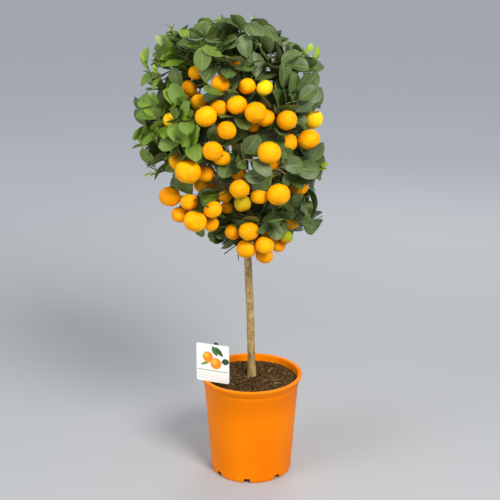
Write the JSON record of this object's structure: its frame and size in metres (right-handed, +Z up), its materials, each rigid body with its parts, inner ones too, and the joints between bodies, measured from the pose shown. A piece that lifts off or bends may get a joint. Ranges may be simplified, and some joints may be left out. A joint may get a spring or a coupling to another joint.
{
  "type": "potted calamondin",
  "caption": "Potted calamondin: a citrus tree with a round fruiting crown on a clear stem, in an orange pot with soil and a plain label.",
  "frame": {"origin": "middle of the pot's foot, on the surface that the pot stands on", "axes": "+Z up along the stem, -Y to the front, where the label card and the fullest fruit face"},
  "size_m": [0.3318, 0.3096, 0.8428],
  "materials": {
    "pot_plastic": "smooth moulded, satin",
    "potting_soil": "loose crumbly, matt",
    "bark": "fine furrowed bark, matt",
    "fruit_peel": "dimpled citrus peel, satin",
    "leaf_blade": "smooth waxy leaf, satin",
    "label_print": "printed card, satin",
    "stake_plastic": "moulded, satin"
  },
  "bodies": {
    "root": {"pot": "pot_plastic", "soil": "potting_soil", "trunk_and_branches": "bark", "label_stake": "stake_plastic", "label_card": "label_print", "fruit_bunch_back_left": "fruit_peel", "fruit_bunch_back_left_high": "fruit_peel", "fruit_bunch_back_left_low": "fruit_peel", "fruit_bunch_back_middle": "fruit_peel", "fruit_bunch_back_right": "fruit_peel", "fruit_bunch_back_right_high": "fruit_peel", "fruit_bunch_back_right_low": "fruit_peel", "fruit_bunch_back_top": "fruit_peel", "fruit_bunch_broad": "fruit_peel", "fruit_bunch_centre": "fruit_peel", "fruit_bunch_front_low": "fruit_peel", "fruit_bunch_left_hanging": "fruit_peel", "fruit_bunch_left_large": "fruit_peel", "fruit_bunch_middle_left": "fruit_peel", "fruit_bunch_middle_right": "fruit_peel", "fruit_bunch_right_hanging": "fruit_peel", "fruit_bunch_right_low": "fruit_peel", "fruit_bunch_right_single": "fruit_peel", "fruit_bunch_right_three": "fruit_peel", "fruit_bunch_shaded_left": "fruit_peel", "fruit_bunch_top_left": "fruit_peel", "fruit_bunch_top_right": "fruit_peel", "fruit_bunch_upper_left": "fruit_peel", "fruit_bunch_upper_middle": "fruit_peel", "fruit_bunch_yellow_left": "fruit_peel", "leafy_sprig_back_crown": "leaf_blade", "leafy_sprig_back_far_left": "leaf_blade", "leafy_sprig_back_far_right": "leaf_blade", "leafy_sprig_back_high": "leaf_blade", "leafy_sprig_back_side_left": "leaf_blade", "leafy_sprig_back_side_right": "leaf_blade", "leafy_sprig_back_upper_left": "leaf_blade", "leafy_sprig_back_upper_right": "leaf_blade", "leafy_sprig_front_heart": "leaf_blade", "leafy_sprig_front_high": "leaf_blade", "leafy_sprig_front_middle": "leaf_blade", "leafy_sprig_front_pointing": "leaf_blade", "leafy_sprig_front_under": "leaf_blade", "leafy_sprig_left_crest": "leaf_blade", "leafy_sprig_left_pale": "leaf_blade", "leafy_sprig_left_reach": "leaf_blade", "leafy_sprig_left_shoot": "leaf_blade", "leafy_sprig_left_shoulder": "leaf_blade", "leafy_sprig_left_under": "leaf_blade", "leafy_sprig_right_dark": "leaf_blade", "leafy_sprig_right_front": "leaf_blade", "leafy_sprig_right_hanging": "leaf_blade", "leafy_sprig_right_round": "leaf_blade", "leafy_sprig_right_under": "leaf_blade", "leafy_sprig_top_crest": "leaf_blade", "leafy_sprig_top_far_left": "leaf_blade", "leafy_sprig_top_flag": "leaf_blade", "leafy_sprig_top_front_left": "leaf_blade", "leafy_sprig_top_right": "leaf_blade", "leafy_sprig_top_right_dark": "leaf_blade"}
  },
  "joints": []
}
